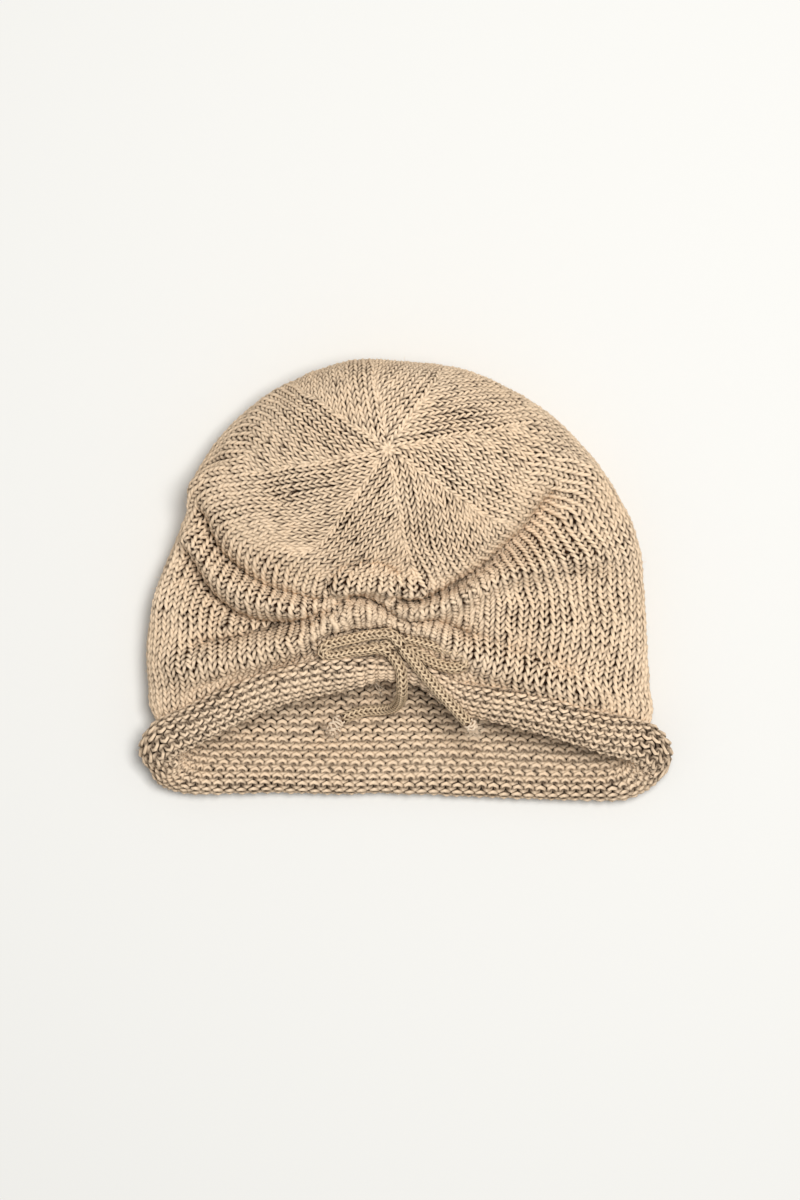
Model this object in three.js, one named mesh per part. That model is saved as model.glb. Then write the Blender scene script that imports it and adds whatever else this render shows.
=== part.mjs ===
// A hand-knitted beanie whose front is drawn up by a knitted cord, lying on its back.
// X runs across the cap, Y from its mouth to its top, and Z up from the surface that it lies on.
import * as THREE from "three";
import { mergeVertices } from "three/addons/utils/BufferGeometryUtils.js";

// Driving dimensions, in millimetres
const FABRIC = 3; // thickness of the knitted wall
const GAP = 0.3; // clearance between neighbouring pieces
const MIDDLE_X = -8.3; // the gather and the centre of the crown lie a little left of the middle
const ROLL_HALF_WIDTH = 7.8; // of the rolled edge, along the wall, to the middle of its fabric
const ROLL_HALF_HEIGHT = 4.9; // of the rolled edge, off the wall
const LIFT_REACH = 28; // how far to the right the gather lifts the mouth's front
const SAG_DEPTH = 3; // the right half of the mouth's back hangs this much lower
const SAG_REACH = 90;
const CORD = 5.4; // diameter of the knitted cord
const BOW_KNOT = 9.4;
const TAIL_KNOT = 7.4;

// Where the cord crosses the roll it pinches it, and the gather draws the roll in more widely.
// depth is a share of the roll's size.
const PINCHES = table(["x", "reach", "depth"], [
  [-2.6, 4.5, 0.14],
  [4, 26, 0.26],
]);

// Shape of the scroll that the edge rolls into, in degrees and shares
const ROLL_STARTS = 5.5; // leaves the gap to the crown's edge
const ROLL_ENDS = 290;
const ROLL_TIGHTENS = 0.42; // over the last half turn

// Shape of the cap between the lines that the courses give, as shares and powers
const DOME_FROM = 0.55; // share of the way up where the flat body starts to turn into the round crown
const DOME_FULL = 0.85;
const SIDE_POWER = 0.85; // below 1, so that the body's front spreads towards its side folds
const BACK_POWER = 0.35; // below 1, so that the body's back lies flat nearly to its side folds
const DOME_BACK_POWER = 1.15;
const SAG_CLIMB = 0.2; // share of the way up where the sag ends
const FOLD_END = 0.25; // share of a fold's length over which it fades
const FOLD_REMAINS = 0.25; // share of its height that is left at its ends
const FOLD_MARGIN = 0.35; // the folds die away over this share of the front, next to the side folds

// Facets
const COLUMNS = 60;
const ROLL_STATIONS = 11;
const CORD_SIDES = 10;
const KNOT_SIDES = 12;
const KNOT_ROWS = 8;
const FOLD_STEPS = 14;
const FINE = 720; // steps used to space the columns evenly
const MERGE_WITHIN = 1e-4; // corners this close are one
const TURN_STEP = 0.03; // radians, to find the fabric's direction
const CLIMB_STEP = 0.01; // share of the way up, to find the fabric's direction
const SPACING_OFFSET = 3 * FABRIC; // the columns are spaced evenly this far outside the fabric
const BANDS = table(["from", "to", "rows"], [
  [0, 0.3, 6],
  [0.3, 0.66, 17],
  [0.66, 1, 9],
]);

// Each row places one course of the knitting, from the mouth (up = 0) to the centre of the crown (up = 1):
// where it crosses the middle of the front and of the back, and where it turns round the two side folds.
// arch bends its front half, slump lowers the right half of its front, and square straightens its back.
const COURSES = table([
  "up", "frontY", "frontZ", "backY", "backZ", "leftX", "leftY", "rightX", "rightY", "sideZ",
  "arch", "slump", "square",
], [
  [0, -41.6, 30, -91, 10, -114.5, -78, 114.5, -81.5, 15, 2, -12, 24],
  [0.07, -35, 33, -73, 0.5, -118.2, -63, 115, -65.5, 17, 2, -12, 14],
  [0.18, -28.5, 37, -43, -1, -120.2, -47, 114.5, -47, 18, 2, -10.5, 5],
  [0.3, -22, 40, -11, -1, -120, -26, 112.6, -26, 19, 2, -6.5, 4],
  [0.42, -16, 42, 22, -1, -116.6, -4.5, 110.6, -3.5, 20, 2, -2.5, 4],
  [0.52, -10.7, 43, 49.5, -1, -109.7, 13.5, 108, 17, 22, 1.9, 0, 4],
  [0.6, -4.5, 44, 71, -1, -103.4, 30, 100.4, 36, 27, 1.7, 0, 4],
  [0.68, 5, 48, 91, 8, -98.4, 47, 88.6, 53, 36, 1.4, 0, 4],
  [0.76, 17, 54, 102.6, 29, -77.6, 57, 67.4, 60, 46, 1.15, 0, 4],
  [0.84, 31, 60, 97.5, 50, -53, 61.5, 40, 62, 56, 1, 0, 4],
  [0.92, 46, 64, 81, 61, -30, 61.5, 14, 61.5, 63, 1, 0, 4],
  [1, 61, 66, 61, 66, MIDDLE_X, 61, MIDDLE_X, 61, 66, 1, 0, 4],
]);

// Folds of the front, seen from above: each runs from one end through a middle point to the other end.
// rise is the height of a ridge, or below zero the depth of a crease, with the half-width at each end.
const FOLDS = table([
  "name", "fromX", "fromY", "viaX", "viaY", "toX", "toY", "rise", "fromWidth", "toWidth",
], [
  ["crown crease, left", -95, 32.5, -79.5, 5, -31, -7.5, -6, 8, 4.5],
  ["band under the crown, left", -101, 26, -82, -2, -33.5, -11.5, 4, 8, 5],
  ["deep crease, left", -109, 21, -80.5, -19.5, -31, -15, -9, 9, 4.5],
  ["lower band, left", -109, -37.5, -68, -30, -28.5, -21.5, 3, 11, 7],
  ["deep crease, right", 0, -8.5, 45, 10.5, 73, 40.5, -9, 4, 8],
  ["band under the crown, right", 9, -12, 45, 2.5, 92, 14.5, 3, 6, 11],
  ["lower crease, right", -7.5, -16.5, 16.5, -20, 40, -30.5, -7, 4, 5.5],
  ["top puff of the gather", -35, -1, -18.5, 6, -3.5, -0.5, 5, 4.5, 4.5],
  ["top crease of the gather", -31, -7, -16, -6, 2, -8, -6, 3.6, 3.6],
  ["middle puff of the gather", -38, -12, -16, -10.5, 9, -12.5, 3, 4.5, 4.5],
  ["middle crease of the gather", -36, -15.5, -19, -15, -5, -16.5, -6, 3.6, 3.6],
  ["low puff of the gather", -36, -20.5, -16, -19.5, 11.5, -23, 3, 4.5, 4.5],
  ["low crease of the gather", -38, -25.5, -14.5, -25.5, 16, -29.5, -7, 4, 4],
]);

// Routes of the cord, from the bow's knot outwards
const KNOT_AT = [-6, -28.5, 40.2];
const LOOP_LEFT = [
  [-11.2, -25.2, 40.8], [-15.4, -25.5, 39.8], [-24, -27.2, 39.2], [-32, -29, 40.4], [-37, -30.6, 41.4],
  [-39, -33, 41], [-37, -35.2, 39.6], [-32, -34.9, 38.9], [-25, -33.3, 38.9], [-18, -32.6, 38.9],
  [-11.6, -31, 38.8],
];
const LOOP_RIGHT = [
  [-0.6, -26.6, 39.8], [5, -28.2, 39.6], [13, -30.4, 40.7], [21, -33, 42.1], [27, -35.4, 42.3],
  [28.8, -38, 41.9], [26, -40.6, 41], [19, -40.6, 39.7], [11, -37.6, 38.7], [4.6, -34, 38.7],
  [-0.4, -31.4, 38],
];
const TAIL_LEFT = [
  [-6.6, -34.8, 39.4], [-4, -38.4, 40.8], [-2.2, -42, 41.4], [-1.7, -47, 40.4], [-1.6, -51, 37.4],
  [-1.9, -54.4, 31], [-3, -57.6, 22], [-6, -60.4, 13.4], [-11.6, -61.6, 8], [-18.4, -62, 6.5],
  [-25, -63.6, 6.4], [-30.4, -66, 7.2],
];
const TAIL_RIGHT = [
  [-1.6, -31.6, 43.6], [3.2, -37.2, 43.8], [8, -43.2, 42.6], [14, -50.2, 41.6], [20, -56.8, 41.2],
  [26, -63.2, 39.4], [29.4, -66.8, 36.8],
];

// Objects with named values from the rows of a table.
function table(columns, rows) {
  return rows.map((row) => Object.fromEntries(columns.map((column, i) => [column, row[i]])));
}

// Cubic curve through one column of the courses, evaluated at a share of the way up.
function along(column, at) {
  const slope = (i) => (COURSES[i + 1][column] - COURSES[i][column]) / (COURSES[i + 1].up - COURSES[i].up);
  const last = COURSES.length - 1;
  const tangent = (i) => {
    if (i === 0) return slope(0);
    if (i === last) return slope(last - 1);
    const before = COURSES[i].up - COURSES[i - 1].up;
    const after = COURSES[i + 1].up - COURSES[i].up;
    return (slope(i - 1) * after + slope(i) * before) / (before + after);
  };
  let i = 0;
  while (i < last - 1 && at >= COURSES[i + 1].up) i += 1;
  const span = COURSES[i + 1].up - COURSES[i].up;
  const t = (at - COURSES[i].up) / span;
  const s = 1 - t;
  const ends = (1 + 2 * t) * s * s * COURSES[i][column] + t * t * (3 - 2 * t) * COURSES[i + 1][column];
  return ends + span * t * s * (s * tangent(i) - t * tangent(i + 1));
}

function course(up) {
  const row = {};
  for (const column of Object.keys(COURSES[0])) row[column] = along(column, up);
  return row;
}

const smooth = (low, high, x) => THREE.MathUtils.smoothstep(x, low, high);
const mix = THREE.MathUtils.lerp;

// A point of the smooth cap without its folds, in the middle of the fabric.
// angle is 0 at the middle of the front, a quarter turn at the right side fold and half a turn at the back.
function capPoint(angle, row) {
  const across = Math.sin(angle);
  const ahead = Math.abs(Math.cos(angle));
  const round = smooth(DOME_FROM, DOME_FULL, row.up);
  const reach = across > 0 ? row.rightX - MIDDLE_X : MIDDLE_X - row.leftX;
  const x = MIDDLE_X + Math.sign(across) * reach * Math.abs(across) ** mix(SIDE_POWER, 1, round);
  const sideY = mix(row.leftY, row.rightY, 0.5 + 0.5 * Math.sin((across * Math.PI) / 2));
  if (Math.cos(angle) > 0) {
    const arch = ahead ** row.arch;
    const lowered = across > 0 ? 1 - Math.exp(-(((x - MIDDLE_X) / LIFT_REACH) ** 4)) : 0;
    const y = sideY + (row.frontY - sideY) * arch + row.slump * arch * lowered;
    return new THREE.Vector3(x, y, mix(row.sideZ, row.frontZ, ahead));
  }
  const flat = mix(1 - Math.abs(across) ** row.square, ahead ** DOME_BACK_POWER, round);
  const sag = SAG_DEPTH * smooth(0, SAG_REACH, x) * (1 - smooth(0, SAG_CLIMB, row.up)) * flat;
  const y = sideY + (row.backY - sideY) * flat - sag;
  const z = mix(row.sideZ, row.backZ, ahead ** mix(BACK_POWER, 1, round));
  return new THREE.Vector3(x, y, Math.max(z, FABRIC / 2));
}

// The fabric's outward direction on the smooth cap, from the two directions along its surface.
function capNormal(angle, up) {
  const low = course(Math.max(up - CLIMB_STEP, 0));
  const high = course(up + CLIMB_STEP);
  const row = course(up);
  const round = capPoint(angle + TURN_STEP, row).sub(capPoint(angle - TURN_STEP, row));
  const upward = capPoint(angle, high).sub(capPoint(angle, low));
  return round.cross(upward).normalize();
}

// Angles that space the columns evenly along one course, counted from the middle of the front.
// The side folds turn sharply, so their length is measured a little outside the fabric.
function evenAngles(up) {
  const row = course(up);
  const angles = [];
  const lengths = [0];
  let before = null;
  for (let i = 0; i <= FINE; i += 1) {
    const angle = (i / FINE) * 2 * Math.PI;
    const here = capPoint(angle, row).addScaledVector(capNormal(angle, up), SPACING_OFFSET);
    if (before) lengths.push(lengths[i - 1] + here.distanceTo(before));
    angles.push(angle);
    before = here;
  }
  const total = lengths[FINE];
  const spaced = [];
  let i = 0;
  for (let column = 0; column < COLUMNS; column += 1) {
    const wanted = (column / COLUMNS) * total;
    while (lengths[i + 1] < wanted) i += 1;
    const share = (wanted - lengths[i]) / (lengths[i + 1] - lengths[i]);
    spaced.push(mix(angles[i], angles[i + 1], share));
  }
  return spaced;
}

// Height that the folds add at a point of the front, measured off the smooth cap.
function foldRise(x, y) {
  const place = new THREE.Vector2(x, y);
  let rise = 0;
  for (const fold of FOLD_LINES) {
    let nearest = Infinity;
    let share = 0;
    for (let i = 0; i + 1 < fold.line.length; i += 1) {
      const run = fold.line[i + 1].clone().sub(fold.line[i]);
      const offset = place.clone().sub(fold.line[i]);
      const t = THREE.MathUtils.clamp(offset.dot(run) / run.lengthSq(), 0, 1);
      const distance = offset.addScaledVector(run, -t).length();
      if (distance < nearest) {
        nearest = distance;
        share = (i + t) / (fold.line.length - 1);
      }
    }
    const fading = mix(FOLD_REMAINS, 1, smooth(0, FOLD_END, share) * smooth(0, FOLD_END, 1 - share));
    const width = mix(fold.fromWidth, fold.toWidth, share);
    rise += fold.rise * fading * Math.exp(-((nearest / width) ** 2));
  }
  return rise;
}

// The line of each fold: a curve that passes through its three points.
const FOLD_LINES = FOLDS.map((fold) => {
  const start = new THREE.Vector2(fold.fromX, fold.fromY);
  const end = new THREE.Vector2(fold.toX, fold.toY);
  const halfway = start.clone().lerp(end, 0.5);
  const pull = new THREE.Vector2(fold.viaX, fold.viaY).multiplyScalar(2).sub(halfway);
  const line = new THREE.QuadraticBezierCurve(start, pull, end).getPoints(FOLD_STEPS);
  return { ...fold, line };
});

// One course of the finished cap: its points in the middle of the fabric with the outward directions.
function foldedCourse(up) {
  const row = course(up);
  return evenAngles(up).map((angle) => {
    const point = capPoint(angle, row);
    const out = capNormal(angle, up);
    const front = smooth(0, FOLD_MARGIN, Math.cos(angle));
    if (front > 0) point.addScaledVector(out, foldRise(point.x, point.y) * front);
    return { point, out, angle };
  });
}

// Half the fabric's thickness to one side of a course, kept off the surface that the cap lies on.
function wallSide(ring, side) {
  return ring.map(({ point, out }) => {
    const place = point.clone().addScaledVector(out, (side * FABRIC) / 2);
    place.z = Math.max(place.z, side > 0 ? 0 : FABRIC);
    return place;
  });
}

// Closed mesh over rings of points. Each ring has the same number of points, or one point where it is a pole.
function skin(rings, joined) {
  const positions = rings.flat().flatMap((p) => [p.x, p.y, p.z]);
  const starts = [];
  let count = 0;
  for (const ring of rings) {
    starts.push(count);
    count += ring.length;
  }
  const faces = [];
  const steps = joined ? rings.length : rings.length - 1;
  for (let r = 0; r < steps; r += 1) {
    const next = (r + 1) % rings.length;
    const wide = Math.max(rings[r].length, rings[next].length);
    for (let c = 0; c < wide; c += 1) {
      const d = (c + 1) % wide;
      const [a, b] = rings[r].length === 1 ? [0, 0] : [c, d];
      const [e, f] = rings[next].length === 1 ? [0, 0] : [c, d];
      if (a !== b) faces.push(starts[r] + a, starts[r] + b, starts[next] + f);
      if (e !== f) faces.push(starts[r] + a, starts[next] + f, starts[next] + e);
    }
  }
  const geometry = new THREE.BufferGeometry();
  geometry.setAttribute("position", new THREE.Float32BufferAttribute(positions, 3));
  geometry.setIndex(faces);
  return geometry;
}

// The knitted body: outside of the fabric from the mouth to the crown, then its inside back to the mouth.
function crownGeometry() {
  const ups = [];
  for (const { from, to, rows } of BANDS) {
    for (let i = 0; i < rows; i += 1) ups.push(mix(from, to, i / rows));
  }
  const rings = ups.map(foldedCourse);
  const top = COURSES[COURSES.length - 1];
  const pole = (side) => [new THREE.Vector3(MIDDLE_X, top.frontY, top.frontZ + (side * FABRIC) / 2)];
  const outside = rings.map((ring) => wallSide(ring, 1));
  const inside = rings.map((ring) => wallSide(ring, -1)).reverse();
  return skin([pole(-1), ...inside, ...outside, pole(1)], false);
}

// The rolled edge: the fabric leaves the crown's first course downwards, turns outwards and curls up.
function brimGeometry() {
  const first = foldedCourse(0);
  const stations = [];
  for (let i = 0; i < ROLL_STATIONS; i += 1) {
    stations.push(mix(ROLL_STARTS, ROLL_ENDS, i / (ROLL_STATIONS - 1)));
  }
  const scroll = (degrees) => {
    const turn = THREE.MathUtils.degToRad(degrees);
    const size = 1 - ROLL_TIGHTENS * Math.max(turn / Math.PI - 1, 0);
    return [-ROLL_HALF_WIDTH * Math.sin(turn) * size, ROLL_HALF_HEIGHT * (1 - Math.cos(turn) * size)];
  };
  const section = (side) => stations.map((degrees) => {
    const [before, here, after] = [degrees - 1, degrees, degrees + 1].map(scroll);
    const run = new THREE.Vector2(after[0] - before[0], after[1] - before[1]).normalize();
    return [here[0] + (side * run.y * FABRIC) / 2, here[1] - (side * run.x * FABRIC) / 2];
  });
  const outline = [...section(-1), ...section(1).reverse()];
  const frames = first.map(({ point, out, angle }, column) => {
    const next = first[(column + 1) % COLUMNS].point;
    const before = first[(column + COLUMNS - 1) % COLUMNS].point;
    const climb = out.clone().cross(next.clone().sub(before)).normalize();
    let size = 1;
    if (Math.cos(angle) > 0) {
      for (const { x, reach, depth } of PINCHES) size -= depth * Math.exp(-(((point.x - x) / reach) ** 2));
    }
    return { point, out, climb, size };
  });
  const rings = outline.map(([rise, off], place) => frames.map(({ point, out, climb, size }) => {
    const spot = point.clone().addScaledVector(climb, rise * size).addScaledVector(out, off * size);
    spot.z = Math.max(spot.z, place < ROLL_STATIONS ? 0 : FABRIC);
    return spot;
  }));
  return skin(rings, true);
}

function cordGeometry(route, diameter) {
  const path = new THREE.CatmullRomCurve3(route.map((p) => new THREE.Vector3(...p)));
  const corners = [];
  for (let i = 0; i < CORD_SIDES; i += 1) {
    const turn = (i / CORD_SIDES) * 2 * Math.PI;
    corners.push(new THREE.Vector2(Math.cos(turn), Math.sin(turn)).multiplyScalar(diameter / 2));
  }
  const steps = Math.ceil(path.getLength() / diameter);
  return new THREE.ExtrudeGeometry(new THREE.Shape(corners), { steps, extrudePath: path });
}

// The knot at the end of a free tail, drawn out along the cord and clear of its end by the gap.
function tailKnot(route) {
  const [before, end] = route.slice(-2).map((p) => new THREE.Vector3(...p));
  const run = end.clone().sub(before).normalize();
  const knot = new THREE.Mesh(new THREE.SphereGeometry(TAIL_KNOT / 2, KNOT_SIDES, KNOT_ROWS), cordMaterial);
  knot.position.copy(end).addScaledVector(run, TAIL_KNOT / 2 + GAP);
  return knot;
}

const knitMaterial = new THREE.MeshStandardMaterial({ color: "#d3bb98", roughness: 0.95, metalness: 0 });
const brimMaterial = new THREE.MeshStandardMaterial({ color: "#cdb391", roughness: 0.95, metalness: 0 });
const cordMaterial = new THREE.MeshStandardMaterial({ color: "#c9b48f", roughness: 0.95, metalness: 0 });

const beanie = new THREE.Group();

function add(name, mesh) {
  mesh.geometry.deleteAttribute("normal");
  mesh.geometry.deleteAttribute("uv");
  mesh.geometry = mergeVertices(mesh.geometry, MERGE_WITHIN);
  mesh.geometry.computeVertexNormals();
  mesh.name = name;
  beanie.add(mesh);
}

add("crown", new THREE.Mesh(crownGeometry(), knitMaterial));
add("rolled_brim", new THREE.Mesh(brimGeometry(), brimMaterial));
add("bow_loop_left", new THREE.Mesh(cordGeometry(LOOP_LEFT, CORD), cordMaterial));
add("bow_loop_right", new THREE.Mesh(cordGeometry(LOOP_RIGHT, CORD), cordMaterial));
add("bow_tail_left", new THREE.Mesh(cordGeometry(TAIL_LEFT, CORD), cordMaterial));
add("bow_tail_right", new THREE.Mesh(cordGeometry(TAIL_RIGHT, CORD), cordMaterial));

const bowKnot = new THREE.Mesh(new THREE.SphereGeometry(BOW_KNOT / 2, KNOT_SIDES, KNOT_ROWS), cordMaterial);
bowKnot.position.set(...KNOT_AT);
add("bow_knot", bowKnot);
add("tail_knot_left", tailKnot(TAIL_LEFT));
add("tail_knot_right", tailKnot(TAIL_RIGHT));

export default beanie;
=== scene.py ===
"""A hand-knitted cotton beanie, built stitch by stitch, lying on its back with its bow to the camera.

Shapes are worked out in millimetres, with X across the cap, Y from its mouth to its top and Z up from the
surface that it lies on. They are turned to metres where a mesh is made.
"""
import bpy
import numpy as np
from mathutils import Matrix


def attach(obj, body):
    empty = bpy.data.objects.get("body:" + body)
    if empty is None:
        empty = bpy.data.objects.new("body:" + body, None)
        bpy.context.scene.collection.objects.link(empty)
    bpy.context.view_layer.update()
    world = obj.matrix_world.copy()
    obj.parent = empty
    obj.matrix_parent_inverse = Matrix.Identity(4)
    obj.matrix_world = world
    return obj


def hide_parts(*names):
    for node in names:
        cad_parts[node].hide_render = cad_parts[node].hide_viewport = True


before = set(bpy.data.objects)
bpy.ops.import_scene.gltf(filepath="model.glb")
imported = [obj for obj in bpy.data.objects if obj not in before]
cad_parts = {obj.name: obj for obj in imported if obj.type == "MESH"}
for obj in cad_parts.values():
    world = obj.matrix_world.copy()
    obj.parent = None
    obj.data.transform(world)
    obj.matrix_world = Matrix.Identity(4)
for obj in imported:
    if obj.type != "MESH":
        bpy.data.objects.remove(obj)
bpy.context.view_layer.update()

MM = 0.001
ROOT = "root"
rng = np.random.default_rng(5)


def table(names, rows):
    """Columns of a table as arrays with names."""
    return dict(zip(names.split(), np.array(rows, float).T))


def records(names, rows):
    """Rows of a table as dictionaries with the same names."""
    return [dict(zip(names.split(), row)) for row in rows]


TINY_LENGTH, TINY_SWING = 1e-9, 1e-6  # floors under what is divided by and what is summed up
STRAIGHT_UP, UP_THE_CAP = (0, 0, 1), (0, 1, 0)
MIDDLE = 0.5  # of a stitch or a course
MOSTLY = 0.5  # from here on a mark counts

# Sizes of the cap. Its roll and the corners of its mouth are a little fuller than in the plain solids, and
# its folds are sharper.
MIDDLE_X, CENTRE_Y = -8.3, 61
ROLL_HALF_WIDTH = 8.6
ROLL_HALF_HEIGHT = 4.9
ROLL_TIGHTENS = 0.3
ROLL_LIFT = 2  # how far the scroll climbs from the rim to its outer side
ROLL_ENDS = 325  # degrees, a little further round than the plain solid
CORNER_HALF_HEIGHT, CORNER_REACH = 8, 0.5  # the scroll is fuller where it turns round the mouth's corners
CORNER_LEAN, CORNER_EASE = 1.3, 0.2
LIFT_REACH, LIFT_POWER = 28, 4
SAG_DEPTH, SAG_REACH, SAG_CLIMB = 3, 90, 0.2
DOME_FROM, DOME_FULL = 0.55, 0.85
SIDE_POWER, BACK_POWER, DOME_BACK_POWER = 0.85, 0.35, 1.15
FOLD_END, FOLD_REMAINS, FOLD_MARGIN = 0.12, 0.25, 0.35
FOLD_STEPS = 24
SLIT_FROM, SLIT_WIDTH, SLIT_END = -5.5, 1.1, 0.3  # creases that sink further than this end in a slit
CREASE_SINK = 4  # how much further a slit goes in
RIDGE_POWER, CREASE_POWER = 2, 1.25

PINCHES = records("x reach depth", [
    (-11, 9, 0.2),
    (4, 26, 0.34),
])

# Each row places one course, from the mouth (up = 0) to the centre of the crown (up = 1)
COURSES = table("up front_y front_z back_y back_z left_x left_y right_x right_y side_z arch slump square", [
    (0, -41.6, 30, -91, 10, -109.5, -78, 109, -81.5, 15, 2, -12, 24),
    (0.07, -35, 33, -73, 0.5, -118.2, -63, 115, -65.5, 17, 2, -12, 14),
    (0.18, -28.5, 37, -43, -1, -120.2, -47, 114.5, -47, 18, 2, -10.5, 5),
    (0.3, -22, 40, -11, -1, -120, -26, 112.6, -26, 19, 2, -6.5, 4),
    (0.42, -16, 42, 22, -1, -116.6, -4.5, 110.6, -3.5, 20, 2, -2.5, 4),
    (0.52, -10.7, 43, 49.5, -1, -109.7, 13.5, 108, 17, 22, 1.9, 0, 4),
    (0.6, -4.5, 44, 71, -1, -103.4, 30, 100.4, 36, 27, 1.7, 0, 4),
    (0.68, 5, 48, 91, 8, -98.4, 47, 88.6, 53, 36, 1.4, 0, 4),
    (0.76, 17, 54, 102.6, 29, -77.6, 57, 67.4, 60, 46, 1.15, 0, 4),
    (0.84, 31, 60, 97.5, 50, -53, 61.5, 40, 62, 56, 1, 0, 4),
    (0.92, 46, 64, 81, 61, -30, 61.5, 14, 61.5, 63, 1, 0, 4),
    (1, CENTRE_Y, 66, CENTRE_Y, 66, MIDDLE_X, CENTRE_Y, MIDDLE_X, CENTRE_Y, 66, 1, 0, 4),
])

# Folds of the front, seen from above: a ridge rises, a crease sinks. Widths are at a fold's two ends.
FOLDS = records("name rise from_width to_width line", [
    ("crown crease, left", -9, 4, 2.2, [
        (-100.3, 35.8), (-96, 23), (-87.9, 11.6), (-77, 3.1), (-65.2, -3.1), (-52.4, -6.9), (-41.5, -9.2),
        (-34, -8)]),
    ("band under the crown, left", 7, 7, 5, [
        (-105, 26.8), (-99.3, 13), (-91.7, 3.1), (-80.3, -5), (-68, -9.7), (-54.7, -12.6), (-42.4, -14)]),
    ("deep crease, left", -13, 5, 2, [
        (-109.3, 20.1), (-102.6, 6.9), (-92.2, -6.9), (-82.2, -15.4), (-71.8, -19.7), (-58.5, -20.6),
        (-46.2, -18.7), (-38.2, -15.9), (-32, -14.8)]),
    ("pocket, left", -5.4, 12, 12, [(-112.6, 4), (-99.8, -12.1), (-85.1, -21.6)]),
    ("crease over the lower band, left", -8, 3.5, 1.8, [
        (-104, -31.6), (-83, -27.7), (-67.4, -25), (-52.6, -20.8), (-41, -17), (-33, -14.8)]),
    ("lower band, left", 7.5, 8, 5, [
        (-116.4, -44), (-100, -40), (-83, -36), (-67, -32), (-52.6, -27), (-40, -21.5), (-28.7, -16.5),
        (-15.9, -14)]),
    ("lower band, right", 7, 5, 9, [
        (-14, -14), (-3.6, -17.3), (6.9, -22.4), (18.7, -27.5), (35.3, -35), (52, -41.5), (70, -48),
        (98.5, -58)]),
    ("crease over the lower band, right", -5, 2.6, 4.5, [
        (24, -22.5), (35.3, -27), (52, -33.5), (70, -40), (84, -46)]),
    ("top puff of the gather", 9.5, 5.5, 5.5, [
        (-33.9, -5.9), (-26.8, -1.2), (-18.2, 0.7), (-9.7, -1.2), (-4.5, -5.5)]),
    ("edge of the top puff", -5, 1.8, 1.8, [
        (-37.7, -5.5), (-32.9, 2.6), (-25.4, 6.9), (-15.4, 7.8), (-6.4, 4.5), (-1.2, -1.7)]),
    ("small puff of the gather", 9, 4.2, 4.2, [(-1.7, -5.5), (3.1, -3.6), (8.8, -4.5)]),
    ("crease under the small puff", -10, 1.8, 1.8, [(-4.5, -8.3), (3.1, -9.7), (11.6, -8.3), (17.8, -5.9)]),
    ("crease across the gather", -11, 1.8, 2.6, [
        (-33, -11), (-23.5, -7.8), (-17.8, -9.2), (-11.6, -13), (-5.9, -15.9), (2.6, -18.2), (12.1, -18.2),
        (19.7, -21.1), (27.3, -25.4), (34, -30)]),
    ("middle band, right", 8, 4, 6.5, [
        (-7.3, -11.1), (0.7, -13.5), (10.2, -13.5), (22, -8.5), (36.3, -0.5), (52, 5), (76.6, 10.5),
        (101, 12)]),
    ("deep crease, right", -14, 2.2, 5.5, [
        (11.6, -8.3), (19.7, -5.5), (29.6, 0.2), (40.1, 6.4), (51.9, 15.4), (62.8, 26.3), (69.9, 37.2),
        (73.2, 45.3)]),
    ("valley beside the deep crease, right", -5.4, 4, 10, [(40, 4.5), (52, 12), (64, 20.5), (76, 30)]),
    ("low crease of the gather", -9, 1.8, 1.8, [
        (-42, -27.5), (-28.7, -24.4), (-18.7, -24.9), (-8.3, -24), (1.2, -26.8), (8.8, -26.8), (17, -30)]),
    ("eyelet of the cord", -5.4, 3.2, 3.2, [(-21.5, -36.5), (-16, -38), (-10.5, -39)]),
])

# Routes of the cord, from the bow's knot outwards, the same as in the part's source
LOOP_LEFT = [
    (-11.2, -25.2, 40.8), (-15.4, -25.5, 39.8), (-24, -27.2, 39.2), (-32, -29, 40.4), (-37, -30.6, 41.4),
    (-39, -33, 41), (-37, -35.2, 39.6), (-32, -34.9, 38.9), (-25, -33.3, 38.9), (-18, -32.6, 38.9),
    (-11.6, -31, 38.8),
]
LOOP_RIGHT = [
    (-0.6, -26.6, 39.8), (5, -28.2, 39.6), (13, -30.4, 40.7), (21, -33, 42.1), (27, -35.4, 42.3),
    (28.8, -38, 41.9), (26, -40.6, 41), (19, -40.6, 39.7), (11, -37.6, 38.7), (4.6, -34, 38.7),
    (-0.4, -31.4, 38),
]
TAIL_LEFT = [
    (-6.6, -34.8, 39.4), (-4, -38.4, 40.8), (-2.2, -42, 41.4), (-1.7, -47, 40.4), (-1.6, -51, 37.4),
    (-1.9, -54.4, 31), (-3, -57.6, 22), (-6, -60.4, 13.4), (-11.6, -61.6, 8), (-18.4, -62, 6.5),
    (-25, -63.6, 6.4), (-30.4, -66, 7.2),
]
TAIL_RIGHT = [
    (-1.6, -31.6, 43.6), (3.2, -37.2, 43.8), (8, -43.2, 42.6), (14, -50.2, 41.6), (20, -56.8, 41.2),
    (26, -63.2, 39.4), (29.4, -66.8, 36.8),
]

# The bow's knot, as the strands that meet in it: over the top, through the middle, down to the left tail,
# and in from the right loop
KNOT_STRANDS = [
    [(-11.2, -25.2, 40.8), (-8.4, -24.9, 42.6), (-5.2, -26.2, 43.9), (-3.2, -29, 44.1), (-1.6, -31.6, 43.6)],
    [(-11.6, -31, 38.8), (-6, -30, 39.4), (-0.4, -31.4, 38)],
    [(-16, -31.4, 37), (-12.4, -32, 39.2), (-9, -33, 39.9), (-6.6, -34.8, 39.4)],
    [(-0.6, -26.6, 39.8), (-3.6, -28.2, 39), (-6, -30, 38.4)],
]

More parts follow.
